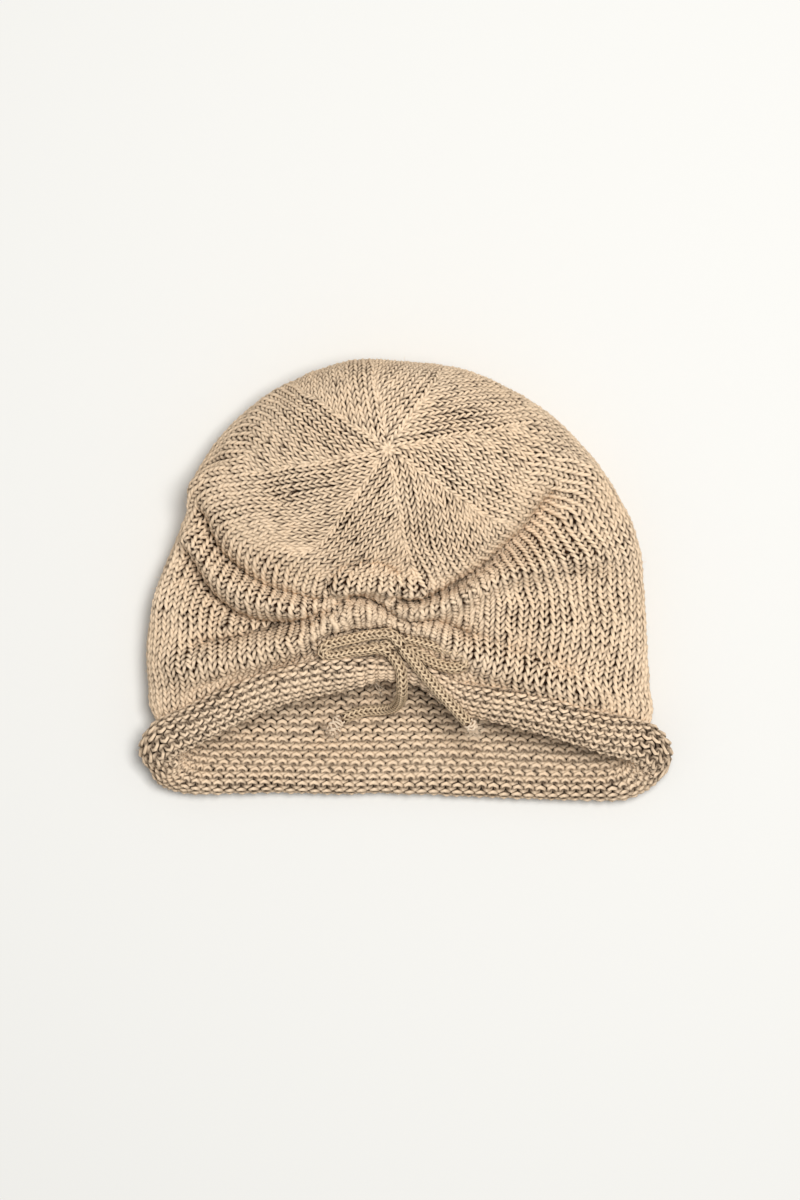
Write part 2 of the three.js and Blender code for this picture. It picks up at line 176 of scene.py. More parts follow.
# Gauge of the knitting
SECTORS = 8  # the crown narrows along this many spokes
WALES = 13 * SECTORS
BODY_COURSES = 70  # from the rim to the centre of the crown
ROLL_COURSES = 11
BAND_COURSES = 16  # how many courses of the body make one mesh
CROWN_COURSES = 22  # those with decreases
CROWN_COURSE = 3.15  # height of a course there
BODY_COURSE = 3.15
CROWD = (0.4, 200)  # limits of how many times closer the courses lie in the creases
CREASE_LEAST = 0.5  # millimetres of crease that each wale is taken to have at least
COURSE_SMOOTHING = 5  # columns
SPOKE_TURN = 0.028  # share of a turn from the middle of the front to the first spoke
BACK_STRETCH = 0.1  # the back of the mouth is stretched by this share
BACK_STRETCH_CLIMB = 0.3
BACK_FROM, BACK_FULL = 0.1, -0.3  # cosines of the angles between which that stretch comes in
SPREAD = (0.6, 0.8)  # from where to where up the cap the wales come to spread by direction

# Where the cord draws the front up, how much closer the courses lie there and how much fuller the yarn is
GATHER = {"x": -8, "y": -16, "reach_x": 42, "reach_y": 17, "closer": 0.7, "fuller": 0.2}

# One loop of yarn: lean shapes its omega, height is in courses, and depth, tilt and twist set its way
# through the fabric. loose is its random shift, and the back's share lightens the yarn's painted shade where
# the back is seen.
BODY_LOOP = {"lean": 1.5, "height": 0.92, "depth": 0.8, "tilt": 0.3, "twist": 0.15, "half_width": 0.98,
             "half_thick": 0.78, "loose": 0.11, "back_painted_lighter": 0.3, "steps": 12}
ROLL_LOOP = {**BODY_LOOP, "half_width": 0.94, "half_thick": 0.76, "back_painted_lighter": 0.12, "steps": 10}
CORD_LOOP = {"lean": 1.6, "height": 0.9, "depth": 0.35, "tilt": 0.2, "twist": 0.08, "half_width": 0.66,
             "half_thick": 0.55, "loose": 0.05, "back_painted_lighter": 0, "steps": 10}
ROUNDING = 0.35  # a fourth wave across that rounds the heads and the feet
LOOSE_ACROSS, LOOSE_OFF = 0.6, 1.3  # shares of the random shift that go across a loop and off the fabric
YARN_SIDES = 5
SHADE_SHEET_OFF = 0.9  # how far the sheet of painted shade lies behind the middle of the fabric
FACE_HIDDEN, FACE_SEEN = -0.6, -0.1  # heights of an outward direction between which the face comes into view
ROLL_EASE = 0.5  # courses on either side of the rim over which the two sides of the fabric change places
# The yarn is fuller and calmer by the first two shares where the back is seen, and painted darker as shade
# in the creases by the third.
BACK_FULLER, BACK_CALMER, CREASE_PAINTED_SHADE = 0.1, 0.35, 0.65
SHADE_FROM, SHADE_TO = 0.33, 0.76  # shares of the thickness of the fabric over which the painted shade between the stitches fades out

# Unevenness of hand knitting: from stitch to stitch in the plane and off it, over wider patches, and of
# the yarn's thickness. Reaches are in grid steps.
UNEVEN, UNEVEN_OFF, UNEVEN_REACH = 0.45, 0.25, 3.5
WANDER, WANDER_OFF, WANDER_REACH = 0.45, 0.5, 16
TIGHT, TIGHT_REACH = 0.05, 9
CROWN_FINER, FINER_BEFORE = 0.22, 4  # the yarn is finer in the crown, from so many courses before it
CROWN_EASE = 8  # courses over which a change at the edge of the crown comes in

# Fineness of the surface that the yarn follows
FINE = 720
SURFACE_ROWS = 480
COLUMNS = 4 * WALES
ROWS_PER_COURSE = 4
RIM_OFFSET, SPACING_OFFSET = 15, 5  # wales are spaced evenly this far outside the rim and the rest
OFFSET_CLIMB = 0.15
CENTRE_ROWS = 3  # rows at the crown's centre that face straight up
FLOOR_CLEAR = 1.9  # lowest place of the middle of the fabric


def smooth(low, high, x):
    """Smooth step from 0 at low to 1 at high."""
    t = np.clip((x - low) / (high - low), 0, 1)
    return t * t * (3 - 2 * t)


def mix(a, b, share):
    """Straight blend of a and b."""
    return a + (b - a) * share


def unit(vectors):
    """Vectors of length 1 with the same directions."""
    return vectors / np.maximum(np.linalg.norm(vectors, axis=-1, keepdims=True), TINY_LENGTH)


def around(count):
    """Angles of so many places evenly round one turn."""
    return np.arange(count) / count * 2 * np.pi


def length_along(points):
    """Length along the first axis of the points, from 0 at the first one."""
    step = np.linalg.norm(np.diff(points, axis=0), axis=-1)
    return np.concatenate([np.zeros_like(step[:1]), np.cumsum(step, axis=0)])


def fade(share, reach):
    """Smooth steps at the two ends of a line: 0 at each end, and 1 from the reach inwards."""
    return smooth(0, reach, share) * smooth(0, reach, 1 - share)


def cubic(x, y, at):
    """Cubic curve through the points (x, y), at places along x. Slopes are weighed from their neighbours."""
    gap = np.diff(x)
    slope = (np.diff(y, axis=0).T / gap).T
    tangent = np.concatenate([
        slope[:1],
        ((slope[:-1].T * gap[1:] + slope[1:].T * gap[:-1]) / (gap[:-1] + gap[1:])).T,
        slope[-1:],
    ])
    i = np.clip(np.searchsorted(x, at, side="right") - 1, 0, len(x) - 2)
    t = ((at - x[i]) / gap[i]).T
    s = 1 - t
    first = (y[i].T * (1 + 2 * t) + tangent[i].T * gap[i].T * t) * s * s
    second = (y[i + 1].T * (3 - 2 * t) - tangent[i + 1].T * gap[i].T * s) * t * t
    return (first + second).T


def cap_point(angle, up):
    """The smooth cap without folds. angle is 0 at the middle of the front, a quarter turn at the right side.

    x runs from the middle to the sides as a power of the sine. The front's y arches from the sides to the
    middle, lowered on the right, and the back's y is nearly straight. z goes from the sides' height to the
    front's or the back's.
    """
    row = {name: cubic(COURSES["up"], COURSES[name], up) for name in COURSES}
    across, ahead = np.sin(angle), np.abs(np.cos(angle))
    dome = smooth(DOME_FROM, DOME_FULL, up)
    reach = np.where(across > 0, row["right_x"] - MIDDLE_X, MIDDLE_X - row["left_x"])
    x = MIDDLE_X + np.sign(across) * reach * np.abs(across) ** mix(SIDE_POWER, 1, dome)
    side_y = mix(row["left_y"], row["right_y"], 0.5 + 0.5 * np.sin(across * np.pi / 2))
    arch = ahead ** row["arch"]
    lowered = np.where(across > 0, 1 - np.exp(-((x - MIDDLE_X) / LIFT_REACH) ** LIFT_POWER), 0)
    front_y = side_y + (row["front_y"] - side_y) * arch + row["slump"] * arch * lowered
    flat = mix(1 - np.abs(across) ** row["square"], ahead ** DOME_BACK_POWER, dome)
    sag = SAG_DEPTH * smooth(0, SAG_REACH, x) * (1 - smooth(0, SAG_CLIMB, up)) * flat
    back_y = side_y + (row["back_y"] - side_y) * flat - sag
    front_z = mix(row["side_z"], row["front_z"], ahead)
    back_z = mix(row["side_z"], row["back_z"], ahead ** mix(BACK_POWER, 1, dome))
    front = np.cos(angle) > 0
    z = np.maximum(np.where(front, front_z, back_z), FLOOR_CLEAR)
    return np.stack([x, np.where(front, front_y, back_y), z], -1)


def grid_normals(points):
    """Outward directions of a grid that closes round its columns, as cross products of its two ways."""
    round_ = np.roll(points, -1, 1) - np.roll(points, 1, 1)
    return unit(np.cross(round_, np.gradient(points, axis=0)))


def even_angles(ups):
    """Angles that space the columns evenly along each course, measured a little outside the fabric.

    Near the mouth the back counts for less, which stretches its stitches. In the crown the columns spread
    evenly by their direction from its centre.
    """
    turn = np.linspace(0, 2 * np.pi, FINE + 1)
    angle, up = np.meshgrid(turn[:-1], ups)
    points = cap_point(angle, up)
    offset = mix(RIM_OFFSET, SPACING_OFFSET, smooth(0, OFFSET_CLIMB, up))
    outside = points + offset[..., None] * grid_normals(points)
    step = np.linalg.norm(np.roll(outside, -1, 1) - outside, axis=-1)
    back = smooth(BACK_FROM, BACK_FULL, np.cos(angle)) * (1 - smooth(0, BACK_STRETCH_CLIMB, up))
    step *= 1 - BACK_STRETCH * back
    seen = np.unwrap(np.arctan2(points[..., 0] - MIDDLE_X, CENTRE_Y - points[..., 1]), axis=1)
    swing = np.maximum(np.diff(seen, axis=1, append=seen[:, :1] + 2 * np.pi), TINY_SWING)
    by_swing = smooth(*SPREAD, up)
    share = mix(step / step.sum(1, keepdims=True), swing / swing.sum(1, keepdims=True), by_swing)
    length = np.concatenate([np.zeros((len(ups), 1)), np.cumsum(share, axis=1)], axis=1)
    wanted = np.arange(COLUMNS) / COLUMNS
    return np.array([np.interp(wanted, row / row[-1], turn) for row in length])


def fold_rise(xy):
    """Height that the folds add: for each ridge a bell curve across its line, for each crease a sharper one.

    Both fade at their two ends. Returns the height, and how far each place lies in the slit at the bottom of
    a crease, from 0 to 1, as a narrow bell curve that fades over a longer way.
    """
    rise = np.zeros(xy.shape[:-1])
    slit = np.zeros(xy.shape[:-1])
    for fold in FOLDS:
        route = np.array(fold["line"], float)
        chord = length_along(route)
        line = cubic(chord, route, np.linspace(0, chord[-1], FOLD_STEPS + 1))
        nearest = np.full(rise.shape, np.inf)
        share = np.zeros(rise.shape)
        for i in range(FOLD_STEPS):
            run = line[i + 1] - line[i]
            offset = xy - line[i]
            along = np.clip(offset @ run / (run @ run), 0, 1)
            distance = np.linalg.norm(offset - along[..., None] * run, axis=-1)
            share = np.where(distance < nearest, (i + along) / FOLD_STEPS, share)
            nearest = np.minimum(distance, nearest)
        fading = mix(FOLD_REMAINS, 1, fade(share, FOLD_END))
        width = mix(fold["from_width"], fold["to_width"], share)
        power = RIDGE_POWER if fold["rise"] > 0 else CREASE_POWER
        rise += fold["rise"] * fading * np.exp(-(nearest / width) ** power)
        if fold["rise"] < SLIT_FROM:
            slit = np.maximum(slit, fade(share, SLIT_END) * np.exp(-(nearest / SLIT_WIDTH) ** 2))
    return rise, slit


def rolled_edge(rim, angle, steps):
    """The edge's scroll below the rim, from its free end up to the rim.

    It leaves the rim downwards, turns outwards on an ellipse and tightens over its last half turn. Near the
    corners of the mouth it leans up the front and down the back, so that it turns round the corner.
    """
    points, out = rim
    tangent = np.roll(points, -1, 0) - np.roll(points, 1, 0)
    ahead = np.cos(angle)
    corner = np.exp(-(ahead / CORNER_REACH) ** 2)
    lean = CORNER_LEAN * corner * ahead / np.hypot(ahead, CORNER_EASE)
    out = unit(out + lean[:, None] * np.array(UP_THE_CAP))
    half_height = mix(ROLL_HALF_HEIGHT, CORNER_HALF_HEIGHT, corner)
    climb = unit(np.cross(out, tangent))
    size = np.ones(len(points))
    for pinch in PINCHES:
        near = np.exp(-((points[:, 0] - pinch["x"]) / pinch["reach"]) ** 2)
        size -= np.where(ahead > 0, pinch["depth"] * near, 0)
    turn = np.radians(np.linspace(ROLL_ENDS, 0, steps, endpoint=False))[:, None, None]
    tight = 1 - ROLL_TIGHTENS * np.maximum(turn / np.pi - 1, 0)
    rise = (-ROLL_HALF_WIDTH * np.sin(turn) * tight + ROLL_LIFT * (1 - np.cos(turn)) / 2) * size[:, None]
    off = (1 - np.cos(turn) * tight) * (half_height * size)[:, None]
    edge = points + climb * rise + out * off
    edge[..., 2] = np.maximum(edge[..., 2], FLOOR_CLEAR)
    return edge


class Fabric:
    """A surface that yarn follows: a grid of points that closes round u and runs along v in courses.

    Its marks say at each place how far the back of the fabric is the side that is seen and how far the place
    lies in a crease, both from 0 to 1, and how full the yarn is.
    """

    def __init__(self, points, courses, normals, marks):
        self.points = points
        self.courses = courses
        self.normals = normals
        self.marks = marks

    def at(self, u, v):
        """Points, outward directions and marks at u, a share of a turn, and v, in courses.

        Each is blended from the four places of the grid round it.
        """
        rows, columns = self.points.shape[:2]
        r = np.clip(v / self.courses, 0, 1) * (rows - 1)
        c = np.mod(u, 1) * columns
        r0 = np.minimum(r.astype(int), rows - 2)
        c0 = c.astype(int) % columns
        c1 = (c0 + 1) % columns
        fr, fc = (r - r0)[..., None], (c - np.floor(c))[..., None]

        def between(grid):
            low = mix(grid[r0, c0], grid[r0, c1], fc)
            high = mix(grid[r0 + 1, c0], grid[r0 + 1, c1], fc)
            return mix(low, high, fr)

        return between(self.points), unit(between(self.normals)), between(self.marks)


def cap_fabric():
    """The whole knitted cap: the scroll, the folded body and the crown, its courses spaced along each wale.

    From the centre outwards the crown's courses are evenly high. The rest share what is left of each wale,
    closer together in the creases.
    """
    ups = np.linspace(0, 1, SURFACE_ROWS)
    angle = even_angles(ups[:-1])
    angle = np.concatenate([angle, angle[-1:]])
    points = cap_point(angle, np.broadcast_to(ups[:, None], angle.shape))
    out = grid_normals(points)
    out[-1] = STRAIGHT_UP
    front = smooth(0, FOLD_MARGIN, np.cos(angle))
    rise, crease = fold_rise(points[..., :2])
    folded = points + ((rise - CREASE_SINK * crease) * front)[..., None] * out
    folded[..., 2] = np.maximum(folded[..., 2], FLOOR_CLEAR)
    roll = rolled_edge((folded[0], out[0]), angle[0], ROLL_COURSES * ROWS_PER_COURSE)
    sunk = crease * front
    drawn = ((points[..., 0] - GATHER["x"]) / GATHER["reach_x"]) ** 2
    drawn = np.exp(-drawn - ((points[..., 1] - GATHER["y"]) / GATHER["reach_y"]) ** 2) * front
    body_v = course_numbers(folded, sunk, 1 + GATHER["closer"] * drawn)
    roll_v = length_along(np.concatenate([roll, folded[:1]]))
    roll_v = ROLL_COURSES * roll_v / roll_v[-1]
    v = np.concatenate([roll_v[:-1], body_v + ROLL_COURSES])
    unmarked = np.zeros(roll.shape[:2])
    pairs = ((roll, folded), (unmarked, sunk), (unmarked, drawn))
    path = np.dstack([np.concatenate(pair) for pair in pairs])
    courses = ROLL_COURSES + BODY_COURSES
    wanted = np.linspace(0, courses, courses * ROWS_PER_COURSE + 1)
    even = [[np.interp(wanted, v[:, c], values) for values in path[:, c].T] for c in range(COLUMNS)]
    points, sunk, drawn = np.split(np.array(even).transpose(2, 0, 1), [3, 4], axis=2)
    return uneven_fabric(points, sunk, drawn[..., 0], courses, wanted)


def uneven_fabric(points, sunk, drawn, courses, wanted):
    """Fabric of the cap with the unevenness of hand knitting, which calms down towards the crown's centre.

    wanted holds the course of each row of points. In the crown the yarn is finer, and in the gather fuller.
    """
    out = grid_normals(points)
    run = unit(np.roll(points, -1, 1) - np.roll(points, 1, 1))
    calm = np.clip((courses - wanted) / CROWN_COURSES, 0, 1)[:, None]
    calm = (calm * (1 - BACK_CALMER * back_seen(out, wanted[:, None])))[..., None]
    for reach, plane, off in ((UNEVEN_REACH, UNEVEN, UNEVEN_OFF), (WANDER_REACH, WANDER, WANDER_OFF)):
        for direction, amount in ((run, plane), (np.cross(out, run), plane), (out, off)):
            points += direction * (amount * calm * soft_noise(points.shape[:2], reach)[..., None])
    points[..., 2] = np.maximum(points[..., 2], FLOOR_CLEAR)
    out = grid_normals(points)
    out[-CENTRE_ROWS:] = STRAIGHT_UP
    full = 1 + TIGHT * soft_noise(points.shape[:2], TIGHT_REACH)
    full -= CROWN_FINER * smooth(0, CROWN_EASE, wanted - courses + CROWN_COURSES + FINER_BEFORE)[:, None]
    full += GATHER["fuller"] * drawn
    return Fabric(points, courses, out, np.dstack([back_seen(out, wanted[:, None]), sunk, full]))


def back_seen(out, course):
    """How far the back of the fabric is the side that is seen: on the scroll, and inside the mouth."""
    above_rim = course - ROLL_COURSES
    face = smooth(FACE_HIDDEN, FACE_SEEN, out[..., 2]) * smooth(-ROLL_EASE, ROLL_EASE, above_rim)
    return 1 - np.maximum(face, smooth(0, CROWN_EASE, above_rim - BODY_COURSES + CROWN_COURSES))


def soft_noise(shape, reach):
    """Random grid of about unit size, smoothed over the reach in grid steps and closed round both ways."""
    waves = [np.fft.fftfreq(n)[:, None] if i == 0 else np.fft.fftfreq(n)[None] for i, n in enumerate(shape)]
    keep = np.exp(-2 * (np.pi * reach) ** 2 * (waves[0] ** 2 + waves[1] ** 2))
    noise = np.fft.ifft2(np.fft.fft2(rng.normal(size=shape)) * keep).real
    return noise / noise.std()


def sum_to_centre(steps):
    """Sum of the steps from each row up to the crown's centre."""
    return np.concatenate([np.cumsum(steps[::-1], axis=0)[::-1], np.zeros((1, steps.shape[1]))])


def course_numbers(folded, crease, closer):
    """Number of the course at each place of the body, from 0 at the rim to the last at the crown's centre.

    Outside the creases a course is as high as the gauge says, divided by closer, and the creases hold what
    is left of each wale. The numbers are then smoothed round the cap.
    """
    step = np.linalg.norm(np.diff(folded, axis=0), axis=-1) * (closer[1:] + closer[:-1]) / 2
    from_centre = sum_to_centre(step)
    in_crown = CROWN_COURSES * CROWN_COURSE
    outside = np.where((from_centre[1:] + from_centre[:-1]) / 2 > in_crown, step, 0)
    inside = (crease[1:] + crease[:-1]) / 2 * outside
    rest = BODY_COURSES - CROWN_COURSES
    crowd = (rest * BODY_COURSE - (outside - inside).sum(0)) / np.maximum(inside.sum(0), CREASE_LEAST)
    weighed = outside + (np.clip(crowd, *CROWD) - 1) * inside
    left = sum_to_centre(weighed)
    below = CROWN_COURSES + rest * left / left[0]
    numbers = BODY_COURSES - np.where(from_centre < in_crown, from_centre / CROWN_COURSE, below)
    wave = np.fft.rfftfreq(COLUMNS) * 2 * np.pi * COURSE_SMOOTHING
    return np.fft.irfft(np.fft.rfft(numbers, axis=1) * np.exp(-wave ** 2 / 2), COLUMNS, axis=1)


def crown_turn(stitch, across, below_centre):
    """Share of a turn of a place across a stitch, counted from the first spoke, below the crown's centre.

    In the crown each sector holds fewer stitches towards the centre. They keep their width from the sector's
    first spoke, so wales run beside that spoke and end at the next one.
    """
    per_sector = WALES / SECTORS
    sector = np.floor(stitch / per_sector)
    count = np.maximum(per_sector * np.minimum(below_centre / CROWN_COURSES, 1), 1)
    place = np.clip((stitch - sector * per_sector + across) / count, -1 / count, 1)
    return SPOKE_TURN + (sector + place) / SECTORS


def crown_stitches(below_centre):
    """Numbers of the stitches in a course so many courses below the centre, counted from the first spoke."""
    per_sector = WALES // SECTORS
    whole = int(np.ceil(max(per_sector * min(below_centre / CROWN_COURSES, 1), 1)))
    return (np.arange(SECTORS)[:, None] * per_sector + np.arange(whole)).ravel()


def course_line(fabric, v, loop, stitches, turn_of):
    """Middle line of the yarn in one closed course, with the outward directions, the depths and the marks.

    Over one stitch, t goes once round. The yarn goes across as t + lean * sin 2t, rounded by a fourth wave,
    along the wale as -height * cos t, and off the fabric as -depth * cos 2t + tilt * cos t + twist * sin t.
    So the legs lie in front, one further than the other, and the heads and feet behind. Each stitch is
    shifted at random by the share loose, and less where the back is seen.
    """
    t = around(loop["steps"])
    middles = turn_of(stitches, MIDDLE, fabric.courses - v)
    back = fabric.at(middles, np.full(len(stitches), v))[2][:, 0]
    loose = loop["loose"] * (1 - BACK_CALMER * back)
    shift = rng.normal(0, 1, (3, len(stitches), 1)) * loose[:, None] * np.sin(t / 2) ** 2
    across = (t + loop["lean"] * np.sin(2 * t) - ROUNDING * np.sin(4 * t)) / (2 * np.pi)
    climb = -loop["height"] * np.cos(t) + shift[1]
    off = -loop["depth"] * np.cos(2 * t) + loop["tilt"] * np.cos(t) + loop["twist"] * np.sin(t)
    off = (off + LOOSE_OFF * shift[2]).ravel()
    along = v + climb
    u = turn_of(stitches[:, None], across + LOOSE_ACROSS * shift[0], fabric.courses - along)
    points, out, marks = fabric.at(u.ravel(), along.ravel())
    return points + out * off[:, None], out, off, marks


def tube(line, out, off, half_width, half_thick, sides, closed):
    """Corners, faces, UVs and depths of a tube round a line: an ellipse across it, its short way along out.

    U is the length along the tube in millimetres and V the share of the way round it. The depth of a corner
    is its height off the fabric, with off that of the line.
    """
    count = len(line)
    if closed:
        run = np.roll(line, -1, 0) - np.roll(line, 1, 0)
        step = np.linalg.norm(np.roll(line, -1, 0) - line, axis=-1)
    else:
        run = np.gradient(line, axis=0)
        step = np.linalg.norm(np.diff(line, axis=0), axis=-1)
    side = unit(np.cross(unit(run), out))
    over = unit(np.cross(side, run))
    turn = around(sides)
    width = np.broadcast_to(half_width, count)[:, None, None]
    thick = np.broadcast_to(half_thick, count)[:, None, None]
    ring = (np.cos(turn)[:, None] * side[:, None]) * width
    ring = ring + (np.sin(turn)[:, None] * over[:, None]) * thick
    corners = (line[:, None] + ring).reshape(-1, 3)
    depth = (np.broadcast_to(off, count)[:, None] + (ring * out[:, None]).sum(-1)).ravel()
    rows = count if closed else count - 1
    i, s = np.meshgrid(np.arange(rows), np.arange(sides), indexing="ij")
    j, n = (i + 1) % count, (s + 1) % sides
    faces = np.stack([i * sides + s, i * sides + n, j * sides + n, j * sides + s], -1).reshape(-1, 4)
    length = np.concatenate([[0], np.cumsum(step)])
    at, to = length[i], length[i + 1]
    low, high = s / sides, (s + 1) / sides
    uvs = np.stack([at, low, at, high, to, high, to, low], -1).reshape(-1, 4, 2)
    return corners, faces, uvs, depth


def joined(parts):
    """Several (corners, faces, UVs, shades) as one."""
    corners, faces, uvs, shade = zip(*parts)
    counts = np.cumsum([0] + [len(c) for c in corners])
    faces = [f + n for f, n in zip(faces, counts)]
    return tuple(np.concatenate(part) for part in (corners, faces, uvs, shade))


def knit(fabric, first, last, loop, stitches_of, turn_of):
    """Yarn of the courses from first to before last, as one (corners, faces, UVs, shades).

    A corner's shade is 1 on the two faces of the fabric and 0 in its middle, where the yarn is painted in
    the colour of shade that falls between the stitches. Where the back is seen the yarn is fuller and that
    painted shade lighter, and in the creases the yarn is painted darker as shade.
    """
    parts = []
    thickness = loop["depth"] + loop["half_thick"]
    for course in range(first, last):
        v = course + MIDDLE
        stitches = stitches_of(fabric.courses - v)
        line, out, off, marks = course_line(fabric, v, loop, stitches, turn_of)
        half_width = loop["half_width"] * marks[:, 2] * (1 + BACK_FULLER * marks[:, 0])
        corners, faces, uvs, depth = tube(line, out, off, half_width, loop["half_thick"], YARN_SIDES, True)
        back, sunk = np.repeat(marks[:, :2], YARN_SIDES, axis=0).T
        # painted shade: darker towards the middle of the fabric, lighter where the back is seen, darker in
        # the creases
        shade = np.clip((np.abs(depth) / thickness - SHADE_FROM) / (SHADE_TO - SHADE_FROM), 0, 1)
        shade = mix(shade, 1, loop["back_painted_lighter"] * back) * (1 - CREASE_PAINTED_SHADE * sunk)
        parts.append((corners, faces, uvs, shade))
    return joined(parts)


def painted_shade_sheet(fabric):
    """A sheet painted in the dark colour of shade along the fabric, which shows between the loops.

    It lies behind the side that is seen: under the face of the front and the crown, and under the back of
    the fabric on the scroll and inside the mouth.
    """
    every = (slice(None, None, ROWS_PER_COURSE), slice(None, None, COLUMNS // WALES))
    points = fabric.points[every]
    normals = fabric.normals[every]
    rows, columns = points.shape[:2]
    points = points + normals * mix(-SHADE_SHEET_OFF, SHADE_SHEET_OFF, fabric.marks[every][..., :1])
    r, c = np.meshgrid(np.arange(rows - 1), np.arange(columns), indexing="ij")
    n = (c + 1) % columns
    faces = np.stack([r * columns + c, r * columns + n, (r + 1) * columns + n, (r + 1) * columns + c], -1)
    uvs = np.zeros((faces.size // 4, 4, 2))
    return points.reshape(-1, 3), faces.reshape(-1, 4), uvs, np.zeros(rows * columns)


def piece(name, shape, material):
    """A smooth mesh piece from (corners, faces, UVs, shades) in millimetres, which rides on the cap."""
    corners, faces, uvs, shade = shape
    corners = corners * MM
    corners[:, 2] = np.maximum(corners[:, 2], 0)
    mesh = bpy.data.meshes.new(name)
    mesh.vertices.add(len(corners))
    mesh.vertices.foreach_set("co", corners.astype(np.float32).ravel())
    mesh.loops.add(faces.size)
    mesh.loops.foreach_set("vertex_index", faces.astype(np.int32).ravel())
    mesh.polygons.add(len(faces))
    mesh.polygons.foreach_set("loop_start", np.arange(0, faces.size, faces.shape[1], dtype=np.int32))
    mesh.polygons.foreach_set("use_smooth", np.ones(len(faces), bool))
    mesh.uv_layers.new(name="yarn").uv.foreach_set("vector", uvs.astype(np.float32).ravel())
    mesh.attributes.new("shade", "FLOAT", "POINT").data.foreach_set("value", shade.astype(np.float32))
    mesh.update(calc_edges=True)
    mesh.validate()
    mesh.materials.append(material)
    thing = bpy.data.objects.new(name, mesh)
    bpy.context.scene.collection.objects.link(thing)
    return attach(thing, ROOT)


# The knitted cord: a tube of a few wales round a soft core
CORD_WALES = 4
CORD_COURSE = 2.5
CORD_MIDDLE = 1.92  # radius of the middle of its fabric
CORD_CORE, CORE_SIDES = 1.5, 8
CORD_COLUMNS = 32
ROUTE_STEPS = 400
SLANTED = (0.3, 0.2, 1)  # no strand of the cord starts in this direction


def cord_line(route, step):
    """A smooth line through a route, with points evenly about a step apart, and its length."""
    route = np.array(route, float)
    chord = length_along(route)
    fine = cubic(chord, route, np.linspace(0, chord[-1], ROUTE_STEPS))
    length = length_along(fine)
    wanted = np.linspace(0, length[-1], int(round(length[-1] / step)) + 1)
    return np.stack([np.interp(wanted, length, axis) for axis in fine.T], -1), length[-1]


def carried_frames(line):
    """Two directions across a line at each of its points, carried along it without twisting."""
    run = unit(np.gradient(line, axis=0))
    across = unit(np.cross(run[0], SLANTED))
    sides = []
    for direction in run:
        across = unit(across - direction * (across @ direction))
        sides.append(across)
    sides = np.array(sides)
    return sides, np.cross(run, sides)


def cord_fabric(route):
    """Fabric of a knitted cord: circles carried along its line. Also its line and its length."""
    line, length = cord_line(route, CORD_COURSE / ROWS_PER_COURSE)
    a, b = carried_frames(line)
    turn = around(CORD_COLUMNS)
    out = np.cos(turn)[:, None] * a[:, None] + np.sin(turn)[:, None] * b[:, None]
    points = line[:, None] + CORD_MIDDLE * out
    marks = np.zeros(points.shape)
    marks[..., 2] = 1
    return Fabric(points, (len(line) - 1) / ROWS_PER_COURSE, out, marks), line, length


def cord_shape(route):
    """Loops of yarn round a core along a route. Also the line and its length."""
    fabric, line, length = cord_fabric(route)
    loops = knit(fabric, 0, int(fabric.courses), CORD_LOOP, lambda below: np.arange(CORD_WALES),
                 lambda stitch, across, below: (stitch + across) / CORD_WALES)
    # The core is painted all in the colour of shade, as the dark inside of the cord that shows between its
    # loops.
    core = tube(line, carried_frames(line)[0], 0, CORD_CORE, CORD_CORE, CORE_SIDES, False)
    return joined([loops, (*core[:3], np.zeros(len(core[0])))]), line, length


# Ends of the cord: a stub that is wound with yarn and ends in a tuft of fibres. Most of these are shares.
END_YARN = 0.6
END_STEPS, END_WOUND, END_WOBBLE, END_SPREAD = 18, 0.98, 0.22, 0.6
END_WAVES = np.array([2.6, 3.7, 4.9])
END_ROOT, END_SHORTEST = 0.6, 0.4
STUB_FROM, STUB_TO, STUB_STEPS = -1, 0.8, 8
# The stub is painted mostly in the colour of shade, as the dark inside of the wound end.
STUB_RADIUS, STUB_SHADE = 0.7, 0.3

# Fibres: their radius, and how they bend
FIBRE = 0.06
FIBRE_STEPS, FIBRE_SIDES, FIBRE_BEND = 5, 3, 0.5
FIBRE_SLANT = (0.31, 0.52, 0.8)  # turns their rings

# Fibres that work loose from the yarn, and a tuft of them under the middle of the roll
FIBRE_COUNT, FIBRE_REACH, FIBRE_ROOT, FIBRE_SHORTEST = 800, 3, 1.2, 0.3
TUFT = {"at": np.array([-14.5, -48.6, 31]), "way": np.array([0.1, -0.6, -0.8]), "spread": 0.4, "count": 10,
        "reach": 6, "shortest": 0.5}


def cord_end(at, run, half_length, radius, turns, fibres, reach):
    """A finished cord end: yarn wound and tangled round the line, and fibres that fan out of it.

    The yarn runs once from end to end of an ellipsoid along the line, winding round it, with a wave along
    each axis whose phase is at random. Each fibre leaves forwards and bends at random.
    """
    run = unit(np.array(run, float))
    across = unit(np.cross(run, SLANTED))
    third = np.cross(run, across)
    share = np.linspace(-END_WOUND, END_WOUND, int(END_STEPS * turns))[:, None]
    turn = np.pi * turns * share
    wobble = radius * END_WOBBLE * np.sin(END_WAVES * turn + rng.uniform(0, 2 * np.pi, 3))
    out = np.cos(turn) * across + np.sin(turn) * third
    line = at + run * half_length * share + out * radius * np.sqrt(1 - share ** 2) + wobble
    wound = tube(line, out, 0, END_YARN, END_YARN, YARN_SIDES, False)
    stub_line = at + run * half_length * np.linspace(STUB_FROM, STUB_TO, STUB_STEPS)[:, None]
    stub_out = np.broadcast_to(across, stub_line.shape)
    stub_radius = STUB_RADIUS * radius
    stub = tube(stub_line, stub_out, 0, stub_radius, stub_radius, CORE_SIDES, False)
    spread = rng.normal(0, END_SPREAD, (fibres, 2))
    ways = unit(run + spread[:, :1] * across + spread[:, 1:] * third)
    roots = at + ways * half_length * END_ROOT
    return joined([
        (*stub[:3], np.full(len(stub[0]), STUB_SHADE)),
        (*wound[:3], np.ones(len(wound[0]))),
        hairs(roots, ways, rng.uniform(END_SHORTEST, 1, fibres) * reach),
    ])


